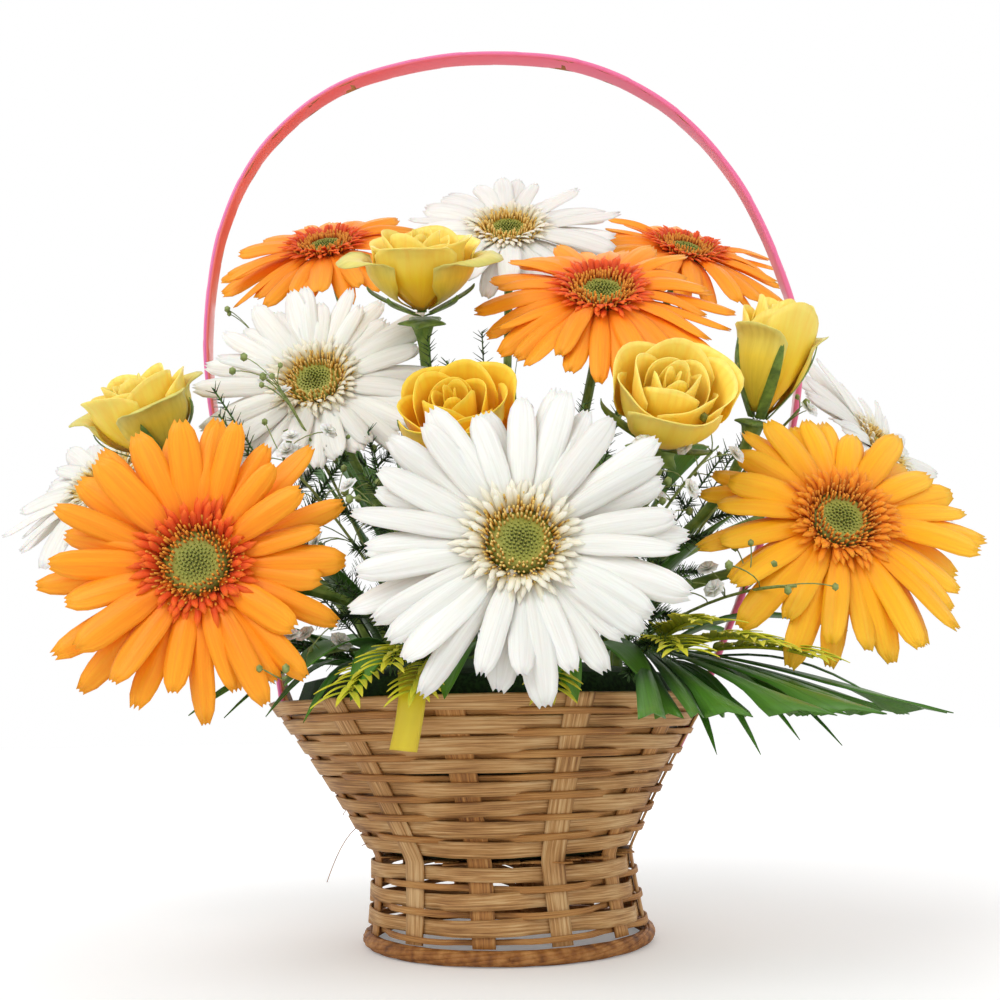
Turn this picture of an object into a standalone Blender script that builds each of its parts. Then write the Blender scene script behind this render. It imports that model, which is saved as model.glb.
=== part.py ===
"""Cut-flower arrangement in a footed split-bamboo basket with a ribbon-wrapped hoop handle.

Metres, +Z up. The origin is on the basket's axis, on the surface it stands on, and -Y is the front.
Angles round the basket are counted from the front, positive towards +X.
"""

import bmesh
import bpy
from math import atan2, cos, pi, radians, sin
from mathutils import Matrix, Vector

MM = 0.001
CLEARANCE = 0.0003              # left between pieces that touch

# Basket
FOOT_RADIUS, WAIST_RADIUS, RIM_RADIUS = 51 * MM, 47.5 * MM, 82.5 * MM
FOOT_TOP, RIM_TOP = 32.5 * MM, 87 * MM
RIM_LEAN = -5 * MM              # how far the rim has slumped towards -X
COIL_RADIUS = 2.6 * MM
SPLINT = 0.9 * MM               # thickness of every splint
STAKES = 12
FIRST_STAKE = radians(-9)
STAKE_WIDTH_FOOT, STAKE_WIDTH_RIM = 7.5 * MM, 9.6 * MM
STAKE_HALF_ANGLE = radians(6.5)
WEAVE_OFFSET = 1.25 * MM        # weaver's middle to stake's middle, where they cross
WIDE_WEAVER, NARROW_WEAVER = 5.2 * MM, 2.0 * MM
BOWL_SLOPE = 0.84               # share of a bowl weaver's width that shows as height
BOWL_ROWS, FOOT_ROWS = 8, 3
LINER_GAP = 4.6 * MM            # from the stakes' middle to the liner's outer face
LINER_WALL = 0.6 * MM
FOAM_TOP = 96 * MM
FOAM_CROWN = 5 * MM
STEM_DEPTH = 14 * MM            # how deep a stem is pushed into the foam

# Handle
HANDLE_TURN = radians(-3.5)     # the hoop stands this far out of the X-Z plane
HOOP_WIDTH, HOOP_THICKNESS = 7 * MM, 1.3 * MM
RIBBON_WALL = 0.35 * MM
HOOP_INSET = 3.3 * MM           # from the stakes' middle to the strip's middle, inside the wall
HOOP_END = 52 * MM              # how low its ends reach
# Middle of the strip above the rim, from left to right, in mm: along the hoop's plane, and up.
HOOP_LINE = [(-88.5, 104), (-97, 140), (-111, 180), (-118, 213), (-120, 245), (-115, 285), (-99, 320), (-70, 346),
             (-35, 357), (0, 359), (40, 352), (74, 331), (99, 299), (114, 262), (121, 225),
             (115, 185), (99, 140), (83, 104)]

# Flowers, in mm: where the head sits, the way it faces, its radius, how far its petal tips lie
# ahead of (+) or behind its middle, how far they droop, and where its stem enters the foam.
GERBERAS = {
    "orange_gerbera_front_left": dict(at=(-94, -98, 128), faces=(0.02, -0.99, 0.08), radius=47,
                                      cup=3, droop=0, foot=(-40, -22)),
    "white_gerbera_front": dict(at=(6, -104, 131), faces=(0, -0.98, 0.2), radius=51,
                                cup=2, droop=0, foot=(2, -42)),
    "yellow_orange_gerbera_front_right": dict(at=(114, -66, 144), faces=(0.1, -0.93, 0.35), radius=49,
                                              cup=-4, droop=4, foot=(42, -20)),
    "white_gerbera_left": dict(at=(-70, -22, 208), faces=(-0.1, -0.92, 0.38), radius=46,
                               cup=2, droop=0, foot=(-28, 2)),
    "orange_gerbera_top_right": dict(at=(40, -38, 237), faces=(0, -0.8, 0.6), radius=47,
                                     cup=-5, droop=3, foot=(14, -8)),
    "white_gerbera_top": dict(at=(6, 20, 288), faces=(0, -0.8, 0.6), radius=50,
                              cup=-3, droop=0, foot=(0, 16)),
    "orange_gerbera_back_left": dict(at=(-77, 44, 294), faces=(-0.1, -0.7, 0.7), radius=50,
                                     cup=-4, droop=3, foot=(-18, 28)),
    "orange_gerbera_back_right": dict(at=(88, 50, 292), faces=(0.2, -0.68, 0.7), radius=50,
                                      cup=-4, droop=4, foot=(18, 30)),
    "white_gerbera_far_left": dict(at=(-159, 8, 177), faces=(-0.42, -0.7, 0.58), radius=48,
                                   cup=0, droop=0, foot=(-44, 14)),
    "white_gerbera_far_right": dict(at=(163, 34, 190), faces=(0.66, -0.58, 0.48), radius=50,
                                    cup=0, droop=0, foot=(44, 16)),
}
ROSES = {
    "rose_top": dict(at=(-28, -32, 230), faces=(0, -0.55, 0.83), radius=19, height=30,
                     foot=(-12, -6)),
    "rose_middle": dict(at=(-12, -48, 167), faces=(-0.1, -0.8, 0.6), radius=20, height=32,
                        foot=(-12, -26)),
    "rose_right": dict(at=(54, -60, 170), faces=(0.1, -0.85, 0.5), radius=20, height=32,
                       foot=(26, -30)),
    "rose_bud_right": dict(at=(95, -34, 187), faces=(0.2, -0.35, 0.9), radius=14, height=42,
                           foot=(38, 0)),
    "rose_far_left": dict(at=(-122, -36, 175), faces=(-0.3, -0.5, 0.8), radius=17, height=30,
                          foot=(-50, -4)),
}
# Palm leaves, in mm and degrees: where the stalk enters the foam, the way it goes, how far its
# tips reach, the angle the fan opens to, its blades, how high it rises and how far it droops.
PALM_LEAVES = {
    "palm_leaf_front_right": dict(foot=(46, -38), heading=36, reach=102, opening=84, blades=9,
                                  rise=-14, droop=12),
    "palm_leaf_left": dict(foot=(-52, -30), heading=-62, reach=92, opening=50, blades=6,
                           rise=10, droop=6),
    "palm_leaf_back_left": dict(foot=(-24, 48), heading=-148, reach=80, opening=80, blades=8,
                                rise=110, droop=10),
    "palm_leaf_back_right": dict(foot=(24, 50), heading=150, reach=80, opening=80, blades=8,
                                 rise=110, droop=10),
    "palm_leaf_back": dict(foot=(2, 56), heading=180, reach=78, opening=70, blades=8,
                           rise=24, droop=14),
}
SPRAYS = {
    "babys_breath_left": dict(foot=(-36, 14), at=(-100, 10, 238)),
    "babys_breath_right": dict(foot=(32, -16), at=(36, -72, 140)),
}
GERBERA_PETALS = 14
STEM_RADIUS = 2.2 * MM
LEAF_THICKNESS = 0.8 * MM

COLOURS = {                      # linear red, green, blue; roughness
    "bamboo": ((0.42, 0.22, 0.09), 0.6),
    "foil": ((0.03, 0.06, 0.02), 0.4),
    "foam": ((0.03, 0.12, 0.05), 0.9),
    "pink_satin": ((0.85, 0.12, 0.25), 0.3),
    "yellow_satin": ((0.85, 0.62, 0.02), 0.35),
    "orange_petal": ((0.95, 0.27, 0.01), 0.5),
    "white_petal": ((0.86, 0.84, 0.78), 0.5),
    "rose_petal": ((0.95, 0.55, 0.02), 0.5),
    "leaf": ((0.04, 0.13, 0.02), 0.45),
    "stem": ((0.18, 0.30, 0.06), 0.5),
}


# ---------------------------------------------------------------- helpers
def material(name):
    """The named material, made once: a plain Principled surface."""
    found = bpy.data.materials.get(name)
    if found:
        return found
    colour, roughness = COLOURS[name]
    made = bpy.data.materials.new(name)
    made.use_nodes = True
    surface = made.node_tree.nodes["Principled BSDF"]
    surface.inputs["Base Color"].default_value = (*colour, 1)
    surface.inputs["Roughness"].default_value = roughness
    surface.inputs["Metallic"].default_value = 0
    return made


def finish(name, bm, finish_name, sharp=40):
    """Makes the named object of a bmesh, with its faces outwards."""
    bmesh.ops.recalc_face_normals(bm, faces=bm.faces)
    mesh = bpy.data.meshes.new(name)
    bm.to_mesh(mesh)
    bm.free()
    mesh.shade_smooth()
    mesh.set_sharp_from_angle(angle=radians(sharp))
    mesh.materials.append(material(finish_name))
    made = bpy.data.objects.new(name, mesh)
    bpy.context.scene.collection.objects.link(made)
    return made


def loft(name, rings, finish_name, closed=False):
    """One closed body through rings of equal length, capped unless the last meets the first."""
    bm = bmesh.new()
    rows = [[bm.verts.new(point) for point in ring] for ring in rings]
    pairs = list(zip(rows, rows[1:] + rows[:1])) if closed else list(zip(rows, rows[1:]))
    for low, high in pairs:
        for i in range(len(low)):
            j = (i + 1) % len(low)
            bm.faces.new((low[i], low[j], high[j], high[i]))
    if not closed:
        bm.faces.new(rows[0])
        bm.faces.new(rows[-1])
    return finish(name, bm, finish_name)


def facing(at, normal):
    """Matrix that puts local +Z along the normal at a place, with local +Y as near up as it can be."""
    z = Vector(normal).normalized()
    x = Vector((0, 0, 1)).cross(z).normalized()
    return Matrix.Translation(at) @ Matrix((x, z.cross(x), z)).transposed().to_4x4()


def bezier(points, count):
    """Points along a cubic Bezier curve."""
    a, b, c, d = points
    made = []
    for i in range(count + 1):
        t = i / count
        made.append(a * (1 - t)**3 + b * 3 * t * (1 - t)**2 + c * 3 * t * t * (1 - t) + d * t**3)
    return made


def tangents(line):
    return [(line[min(i + 1, len(line) - 1)] - line[max(i - 1, 0)]).normalized()
            for i in range(len(line))]


def tube_rings(line, radii, sides):
    """Rings round a line, turned as little as possible from one to the next."""
    rings = []
    side = None
    for point, along, radius in zip(line, tangents(line), radii):
        if side is None:
            side = along.orthogonal()
        side = (side - along * side.dot(along)).normalized()
        other = along.cross(side)
        rings.append([point + (side * cos(2 * pi * k / sides) + other * sin(2 * pi * k / sides)) * radius
                      for k in range(sides)])
    return rings


def smooth_line(points, steps):
    """Catmull-Rom line through the points."""
    ends = [points[0] * 2 - points[1], *points, points[-1] * 2 - points[-2]]
    made = []
    for p, q, r, s in zip(ends, ends[1:], ends[2:], ends[3:]):
        for i in range(steps):
            t = i / steps
            made.append((q * 2 + (r - p) * t + (p * 2 - q * 5 + r * 4 - s) * t * t
                         + (q * 3 - p - r * 3 + s) * t**3) / 2)
    return made + [points[-1]]


# ---------------------------------------------------------------- basket
def wall_radius(z):
    """Radius of the stakes' middle at a height: a foot that flares down, a bowl that flares up."""
    if z < FOOT_TOP:
        return WAIST_RADIUS + (FOOT_RADIUS - WAIST_RADIUS) * (1 - z / FOOT_TOP)**1.5
    rise = (z - FOOT_TOP) / (RIM_TOP - FOOT_TOP)
    return WAIST_RADIUS + (RIM_RADIUS - WAIST_RADIUS) * (0.85 * rise + 0.15 * rise**2)


def round_basket(angle, radius, z):
    return Vector((radius * sin(angle) + RIM_LEAN * z / RIM_TOP, -radius * cos(angle), z))


def make_stake(index):
    angle = FIRST_STAKE + index * 2 * pi / STAKES
    heights = [2 * COIL_RADIUS + CLEARANCE, 12 * MM, 22 * MM, 29 * MM, 34 * MM, 41 * MM, 52 * MM,
               64 * MM, 76 * MM, RIM_TOP]
    rings = []
    across = Vector((cos(angle), sin(angle), 0))
    for z in heights:
        width = STAKE_WIDTH_FOOT + (STAKE_WIDTH_RIM - STAKE_WIDTH_FOOT) * z / RIM_TOP
        ring = []
        for side, depth in ((-1, -1), (1, -1), (1, 1), (-1, 1)):
            middle = round_basket(angle, wall_radius(z) + depth * SPLINT / 2, z)
            ring.append(middle + across * side * width / 2)
        rings.append(ring)
    return loft(f"stake_{index + 1:02d}", rings, "bamboo")


def make_weaver(name, row_heights, width, in_front_of):
    """A flat splint woven round the stakes. Each row is level and steps up to the next at the back."""
    rings = []
    pitch = 2 * pi / STAKES
    for row, z_row in enumerate(row_heights):
        z_next = row_heights[min(row + 1, len(row_heights) - 1)]
        for k in range(STAKES):
            index = (k + STAKES // 2 + 1) % STAKES
            offset = WEAVE_OFFSET if index % 2 == in_front_of else -WEAVE_OFFSET
            steps_up = k == STAKES - 1
            if steps_up and row == len(row_heights) - 1:
                break
            for side in (-1, 1):
                share = (0.5 + side / 6) if steps_up else 0
                z_mid = z_row + (z_next - z_row) * share
                angle = FIRST_STAKE + index * pitch + side * STAKE_HALF_ANGLE
                ring = []
                for up, depth in ((-1, -1), (1, -1), (1, 1), (-1, 1)):
                    z = z_mid + up * width / 2
                    radius = (wall_radius(z) + offset) / cos(STAKE_HALF_ANGLE) + depth * SPLINT / 2
                    ring.append(round_basket(angle, radius, z))
                rings.append(ring)
    return loft(name, rings, "bamboo")


def bowl_row_heights():
    """Middle heights of the wide rows and of the narrow rows between them, from the waist up."""
    pitch = (RIM_TOP - FOOT_TOP) / BOWL_ROWS
    wide = [RIM_TOP - WIDE_WEAVER / 2 - 0.2 * MM - (BOWL_ROWS - 1 - i) * pitch for i in range(BOWL_ROWS)]
    return wide, [z + pitch / 2 for z in wide[:-1]]


def foot_row_heights():
    low, high = 2 * COIL_RADIUS + 1.6 * MM, FOOT_TOP - 1.2 * MM
    pitch = (high - low) / FOOT_ROWS
    wide = [low + pitch * (i + 0.62) for i in range(FOOT_ROWS)]
    return wide, [z - pitch / 2 for z in wide]


def make_coil():
    """Foot ring of bundled splints, with a flat underside to stand on."""
    section = [(-COIL_RADIUS, 0), (COIL_RADIUS, 0), (COIL_RADIUS, 1.5 * COIL_RADIUS),
               (0, 2 * COIL_RADIUS), (-COIL_RADIUS, 1.5 * COIL_RADIUS)]
    rings = []
    sides = 32
    for k in range(sides):
        angle = 2 * pi * k / sides
        rings.append([round_basket(angle, FOOT_RADIUS + out, up) - Vector((RIM_LEAN * up / RIM_TOP, 0, 0))
                      for out, up in section])
    return loft("foot_coil", rings, "bamboo", closed=True)


def turned(name, profile, sides, finish_name):
    """A body turned about the basket's axis from (radius, height) pairs, leaning with the basket."""
    rings = [[round_basket(2 * pi * k / sides, radius, z) for k in range(sides)] for radius, z in profile]
    return loft(name, rings, finish_name)


def make_bowl_floor():
    radius = wall_radius(FOOT_TOP) - SPLINT / 2 - CLEARANCE
    return turned("bowl_floor", [(radius, FOOT_TOP - 1.3 * MM), (radius, FOOT_TOP)], 24, "bamboo")


def make_liner():
    """Thin dark foil cup between the weave and the foam."""
    floor = FOOT_TOP + CLEARANCE
    heights = [floor, 50 * MM, 66 * MM, 84 * MM]
    outer = [(wall_radius(z) - LINER_GAP, z) for z in heights]
    inner = [(radius - LINER_WALL, z) for radius, z in reversed(outer[1:])]
    inner.append((outer[0][0] - LINER_WALL, floor + LINER_WALL))
    return turned("foil_liner", outer + inner, 24, "foil")


def make_foam(feet):
    """Wet foam that fills the liner, with a hole for each stem."""
    floor = FOOT_TOP + 2 * CLEARANCE + LINER_WALL
    gap = LINER_GAP + LINER_WALL + 2 * CLEARANCE
    heights = [floor, 50 * MM, 66 * MM, 84 * MM]
    profile = [(wall_radius(z) - gap, z) for z in heights]
    top = profile[-1][0]
    profile += [(top - 4 * MM, FOAM_TOP - 2 * MM), (top - 12 * MM, FOAM_TOP),
                (top * 0.4, FOAM_TOP + FOAM_CROWN)]
    foam = turned("floral_foam", profile, 24, "foam")
    bm = bmesh.new()
    for x, y in feet:
        bmesh.ops.create_cone(bm, cap_ends=True, segments=6, radius1=3 * MM, radius2=3 * MM,
                              depth=50 * MM,
                              matrix=Matrix.Translation((x * MM, y * MM, FOAM_TOP - STEM_DEPTH + 25 * MM)))
    cutter = finish("stem_hole_cutter", bm, "foam")
    cutter.hide_render = True
    cutter.display_type = "WIRE"
    cut = foam.modifiers.new("stem_holes", "BOOLEAN")
    cut.operation = "DIFFERENCE"
    cut.object = cutter
    return foam


# ---------------------------------------------------------------- handle
def hoop_frames(steps):
    """Points along the hoop with its outward direction and its direction across the strip."""
    ends = [(wall_radius(z) - HOOP_INSET, RIM_LEAN * z / RIM_TOP, z) for z in (HOOP_END, 68 * MM, 84 * MM)]
    left = [Vector((lean - radius, 0, z)) for radius, lean, z in ends]
    right = [Vector((lean + radius, 0, z)) for radius, lean, z in ends]
    above = [Vector((s, 0, z)) * MM for s, z in HOOP_LINE]
    line = smooth_line(left + above + right[::-1], steps)
    turn = Matrix.Rotation(HANDLE_TURN, 3, "Z")
    across = turn @ Vector((0, 1, 0))
    for point, along in zip(line, tangents(line)):
        along = turn @ along
        yield turn @ point, across.cross(along).normalized() * -1, across


def hoop_section(width, thickness):
    return [(-width / 2, -thickness / 2), (width / 2, -thickness / 2),
            (width / 2, thickness / 2), (-width / 2, thickness / 2)]


def make_hoop():
    """Split-bamboo strip bent to a hoop, its ends pushed down inside the basket's wall."""
    section = hoop_section(HOOP_WIDTH, HOOP_THICKNESS)
    rings = [[point + across * w + out * t for w, t in section] for point, out, across in hoop_frames(2)]
    return loft("handle_hoop", rings, "bamboo")


def make_hoop_ribbon():
    """Satin ribbon wound round the hoop from rim to rim: an open-ended sleeve."""
    near = CLEARANCE * 2
    inner = hoop_section(HOOP_WIDTH + near, HOOP_THICKNESS + near)
    outer = hoop_section(HOOP_WIDTH + near + 2 * RIBBON_WALL, HOOP_THICKNESS + near + 2 * RIBBON_WALL)
    frames = [f for f in hoop_frames(2) if f[0].z > FOAM_TOP + 4 * MM]
    outside = [[p + across * w + out * t for w, t in outer] for p, out, across in frames]
    inside = [[p + across * w + out * t for w, t in inner] for p, out, across in frames]
    rings = outside + inside[::-1]
    return loft("handle_ribbon", rings, "pink_satin", closed=True)


def make_yellow_ribbon():
    """Short end of ribbon that hangs over the rim."""
    line = [Vector(p) * MM for p in ((-31, -58, 96.6), (-30, -70, 95.6), (-29, -79, 91.5),
                                     (-28.5, -83.2, 86), (-29.5, -83.5, 78), (-31, -82.5, 70))]
    half = Vector((4.3 * MM, 0, 0))
    bm = bmesh.new()
    rows = [(bm.verts.new(p - half), bm.verts.new(p + half)) for p in line]
    for (a, b), (c, d) in zip(rows, rows[1:]):
        bm.faces.new((a, b, d, c))
    return thicken(finish("yellow_ribbon", bm, "yellow_satin"), 0.5 * MM)


def thicken(made, thickness):
    solid = made.modifiers.new("thickness", "SOLIDIFY")
    solid.thickness = thickness
    solid.offset = 0
    return made


# ---------------------------------------------------------------- flowers
def stem_line(back, normal, foot, count=6):
    """From the back of a head round to the foam, then straight down into its hole."""
    entry = Vector((foot[0] * MM, foot[1] * MM, FOAM_TOP + FOAM_CROWN + 2 * MM))
    reach = (back - entry).length
    bend = bezier([back, back - normal * reach * 0.38, entry + Vector((0, 0, reach * 0.34)), entry], count)
    return bend + [entry - Vector((0, 0, 6 * MM)), Vector((entry.x, entry.y, FOAM_TOP - STEM_DEPTH + 0.5 * MM))]


def make_gerbera(name, at, faces, radius, cup, droop, foot, stem_finish="stem"):
    """A daisy head on its stem: scalloped skirt of petals, raised middle, calyx behind."""
    radius, cup, droop = radius * MM, cup * MM, droop * MM
    place = facing(Vector(at) * MM, faces)
    normal = Vector(faces).normalized()
    half = 0.6 * MM
    # radius as a share, height, and how deep the gaps between petals are cut
    shape = [(0.06, -9.5 * MM, 0), (0.14, -8 * MM, 0), (0.2, -2.5 * MM, 0), (0.55, -half, 0.05),
             (1, cup - half, 0.32), (1, cup + half, 0.32), (0.55, half * 1.5, 0.05),
             (0.22, 3 * MM, 0)]
    rings = []
    for share, height, gap in shape:
        ring = []
        for k in range(2 * GERBERA_PETALS):
            angle = pi * k / GERBERA_PETALS
            reach = radius * share * (1 - gap * (k % 2))
            point = place @ Vector((reach * cos(angle), reach * sin(angle), height))
            point.z -= droop * (reach / radius)**2
            ring.append(point)
        rings.append(ring)
    petals = "white_petal" if name.startswith("white") else "orange_petal"
    loft(name, rings, petals)
    back = place @ Vector((0, 0, -9.5 * MM - 3 * CLEARANCE))
    line = stem_line(back, normal, foot)
    loft(name + "_stem", tube_rings(line, [STEM_RADIUS] * len(line), 6), stem_finish)


def make_rose(name, at, faces, radius, height, foot):
    """A rose bloom in its calyx: the bloom is a closed cup, the calyx and stem are one green piece."""
    radius, height = radius * MM, height * MM
    place = facing(Vector(at) * MM, faces)
    normal = Vector(faces).normalized()
    sides = 12
    shape = [(0.3, 0), (0.72, 0.14), (0.95, 0.45), (1, 0.8), (0.9, 1), (0.6, 0.97), (0.25, 0.92)]
    rings = [[place @ Vector((radius * r * cos(2 * pi * k / sides), radius * r * sin(2 * pi * k / sides),
                              height * h)) for k in range(sides)] for r, h in shape]
    loft(name, rings, "rose_petal")
    sides = 10
    hip = 5 * MM
    line = stem_line(place @ Vector((0, 0, -hip - 3 * MM)), normal, foot)
    rings = tube_rings(line[::-1], [STEM_RADIUS] * len(line), sides)
    start = place.inverted() @ rings[-1][0]
    turn = atan2(start.y, start.x)
    way = -1 if (place.inverted() @ rings[-1][1]).cross(start).z > 0 else 1
    for r_hip, z, points in ((3.6 * MM, -hip - 1.5 * MM, 0), (4.2 * MM, -2.6 * MM, 0),
                             (radius * 0.62, -2.4 * MM, 0.5), (radius * 0.62, -1.4 * MM, 0.5),
                             (3.6 * MM, -CLEARANCE, 0)):
        rings.append([place @ Vector((r_hip * (1 - points * (k % 2)) * cos(turn + way * 2 * pi * k / sides),
                                      r_hip * (1 - points * (k % 2)) * sin(turn + way * 2 * pi * k / sides),
                                      z)) for k in range(sides)])
    loft(name + "_stem", rings, "stem")


# ---------------------------------------------------------------- leaves
def make_palm_leaf(name, foot, heading, reach, opening, blades, rise, droop):
    """A pleated fan with its tips cut to points, on a flat stalk that goes into the foam."""
    heading, opening = radians(heading), radians(opening)
    reach, rise, droop = reach * MM, rise * MM, droop * MM
    entry = Vector((foot[0] * MM, foot[1] * MM, FOAM_TOP + FOAM_CROWN + 1 * MM))
    out = Vector((sin(heading), -cos(heading), 0))
    across = Vector((out.y, -out.x, 0)) * -1
    bm = bmesh.new()
    rows = []
    half = 1.6 * MM
    columns = 2 * blades + 1
    for z in (FOAM_TOP - STEM_DEPTH + 0.5 * MM, entry.z):
        rows.append([bm.verts.new(Vector((entry.x, entry.y, z)) + across * half * (2 * k / (columns - 1) - 1))
                     for k in range(columns)])
    for share in (0.25, 0.6, 1):
        row = []
        for k in range(columns):
            swing = opening * (k / (columns - 1) - 0.5)
            cut = 0.16 if share == 1 and k % 2 == 0 else 0
            length = reach * share * (1 - cut) * (1 - 0.12 * abs(swing))
            pleat = (1 if k % 2 else -1) * 1.2 * MM * share
            level = entry.z + 3 * MM + rise * share - droop * share**2 + pleat
            flat = out * cos(swing) * length + across * sin(swing) * length
            row.append(bm.verts.new(Vector((entry.x, entry.y, level)) + flat))
        rows.append(row)
    for low, high in zip(rows, rows[1:]):
        for a, b, c, d in zip(low, low[1:], high[1:], high):
            bm.faces.new((a, b, c, d))
    return thicken(finish(name, bm, "leaf"), LEAF_THICKNESS)


def make_spray(name, foot, at):
    """Baby's breath: a thin stem that forks into short branches, each ending in a small flower."""
    tip = Vector(at) * MM
    entry = Vector((foot[0] * MM, foot[1] * MM, FOAM_TOP + FOAM_CROWN + 2 * MM))
    middle = entry.lerp(tip, 0.6) + Vector((0, 0, 6 * MM))
    deep = entry - Vector((0, 0, FOAM_CROWN + STEM_DEPTH + 1.5 * MM))
    line = [deep] + smooth_line([entry, middle, tip], 4)
    bm = bmesh.new()
    add_tube(bm, line, 0.9 * MM)
    branches = 7
    for k in range(branches):
        start = middle.lerp(tip, 0.12 + 0.88 * k / (branches - 1))
        angle = 2.4 * k
        end = start + Vector((cos(angle) * 9, sin(angle) * 5, 9 + 2 * sin(3 * angle))) * MM
        add_tube(bm, [start, start.lerp(end, 0.5), end], 0.7 * MM)
        bmesh.ops.create_icosphere(bm, subdivisions=1, radius=2.4 * MM, matrix=Matrix.Translation(end))
    made = finish(name, bm, "leaf")
    core = bmesh.new()
    bmesh.ops.create_icosphere(core, subdivisions=1, radius=2.4 * MM, matrix=Matrix.Translation(tip))
    knot = finish(name + "_tip", core, "leaf")
    knot.hide_render = True
    knot.display_type = "WIRE"
    join = made.modifiers.new("one_body", "BOOLEAN")
    join.operation = "UNION"
    join.use_self = True
    join.object = knot
    return made


def add_tube(bm, line, radius, sides=4):
    rows = [[bm.verts.new(p) for p in ring] for ring in tube_rings(line, [radius] * len(line), sides)]
    for low, high in zip(rows, rows[1:]):
        for i in range(sides):
            j = (i + 1) % sides
            bm.faces.new((low[i], low[j], high[j], high[i]))
    bm.faces.new(rows[0][::-1])
    bm.faces.new(rows[-1])


# ---------------------------------------------------------------- the whole arrangement
def main():
    for old in list(bpy.data.objects):
        bpy.data.objects.remove(old)
    for index in range(STAKES):
        make_stake(index)
    wide, narrow = bowl_row_heights()
    make_weaver("bowl_wide_weaver", wide, WIDE_WEAVER * BOWL_SLOPE, 1)
    make_weaver("bowl_narrow_weaver", narrow, NARROW_WEAVER * BOWL_SLOPE, 0)
    wide, narrow = foot_row_heights()
    make_weaver("foot_wide_weaver", wide, WIDE_WEAVER, 1)
    make_weaver("foot_narrow_weaver", narrow, NARROW_WEAVER, 0)
    make_coil()
    make_bowl_floor()
    make_liner()
    planted = [*GERBERAS.values(), *ROSES.values(), *PALM_LEAVES.values(), *SPRAYS.values()]
    make_foam([row["foot"] for row in planted])
    make_hoop()
    make_hoop_ribbon()
    make_yellow_ribbon()
    for name, row in GERBERAS.items():
        make_gerbera(name, **row)
    for name, row in ROSES.items():
        make_rose(name, **row)
    for name, row in PALM_LEAVES.items():
        make_palm_leaf(name, **row)
    for name, row in SPRAYS.items():
        make_spray(name, **row)


main()
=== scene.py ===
import math
import random

import bmesh
import bpy
from mathutils import Matrix, Vector


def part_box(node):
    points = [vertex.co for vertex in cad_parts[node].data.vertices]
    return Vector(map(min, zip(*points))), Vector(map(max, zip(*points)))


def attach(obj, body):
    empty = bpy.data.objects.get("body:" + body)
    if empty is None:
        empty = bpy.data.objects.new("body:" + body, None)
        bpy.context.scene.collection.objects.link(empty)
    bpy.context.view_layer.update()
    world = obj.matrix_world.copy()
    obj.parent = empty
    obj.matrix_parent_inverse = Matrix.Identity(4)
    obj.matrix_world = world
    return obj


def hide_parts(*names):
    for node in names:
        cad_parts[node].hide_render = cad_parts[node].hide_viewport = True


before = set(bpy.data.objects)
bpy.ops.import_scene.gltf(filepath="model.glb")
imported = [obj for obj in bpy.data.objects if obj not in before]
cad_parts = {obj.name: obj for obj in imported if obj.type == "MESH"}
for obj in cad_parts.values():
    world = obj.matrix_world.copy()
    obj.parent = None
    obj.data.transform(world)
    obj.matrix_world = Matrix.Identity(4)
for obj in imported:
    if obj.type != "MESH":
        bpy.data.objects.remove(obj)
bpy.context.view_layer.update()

mm = 0.001
goldenAngle = 2.39996    # radians from one floret or petal to the next in a spiral
dice = random.Random(11)


# Materials

petalVeins = dict(along=2.0, across=14.0, jump=40.0)      # vein cells along and across one petal
splintFibres = dict(along=35.0, across=9.0, jump=30.0)    # fibre cells along and across one splint
ribbonThreads = 900.0      # cross threads per metre of ribbon, drawn coarser than real so that they show


# Turns an sRGB hex colour into a linear one with alpha.
def linear(hexColour):
    parts = [int(hexColour[i:i + 2], 16) / 255 for i in (0, 2, 4)]
    return [c / 12.92 if c <= 0.04045 else ((c + 0.055) / 1.055) ** 2.4 for c in parts] + [1]


# Adds a node with its settings. A socket takes a plain value, or another node's output as a link.
# The setting "stops" is a colour ramp's list of (place, hex colour).
def addNode(tree, kind, settings=None, sockets=None):
    node = tree.nodes.new(kind)
    for name, value in (settings or {}).items():
        if name != "stops":
            setattr(node, name, value)
            continue
        elements = node.color_ramp.elements
        while len(elements) < len(value):
            elements.new(0.5)
        for element, (place, colour) in zip(elements, value):
            element.position = place
            element.color = linear(colour)
    for name, value in (sockets or {}).items():
        if isinstance(value, bpy.types.NodeSocket):
            tree.links.new(value, node.inputs[name])
        else:
            node.inputs[name].default_value = value
    return node


def startMaterial(name, settings):
    made = bpy.data.materials.new(name)
    made.use_nodes = True
    surface = made.node_tree.nodes["Principled BSDF"]
    for socket, value in settings.items():
        surface.inputs[socket].default_value = value
    return made, made.node_tree, surface


# Gives the shader a colour and, from a pattern's height, fine relief.
def finishSurface(tree, surface, colour, height, strength, depth):
    tree.links.new(colour, surface.inputs["Base Color"])
    relief = addNode(tree, "ShaderNodeBump", None,
                     {"Strength": strength, "Distance": depth, "Height": height})
    tree.links.new(relief.outputs[0], surface.inputs["Normal"])


# How far along a strip a point is, how far across, and the tone of that one strip.
def stripMarks(tree):
    return [addNode(tree, "ShaderNodeAttribute", {"attribute_name": name}).outputs["Fac"]
            for name in ("along", "across", "tone")]


# Pattern vector that follows a strip and jumps from one strip to the next.
def stripPattern(tree, marks, cells):
    along, across, tone = marks
    length = addNode(tree, "ShaderNodeMath", {"operation": "MULTIPLY"}, {0: along, 1: cells["along"]})
    jump = addNode(tree, "ShaderNodeMath", {"operation": "MULTIPLY"}, {0: tone, 1: cells["jump"]})
    width = addNode(tree, "ShaderNodeMath", {"operation": "MULTIPLY_ADD"},
                    {0: across, 1: cells["across"], 2: jump.outputs[0]})
    return addNode(tree, "ShaderNodeCombineXYZ", None, {0: length.outputs[0], 1: width.outputs[0]}).outputs[0]


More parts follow.
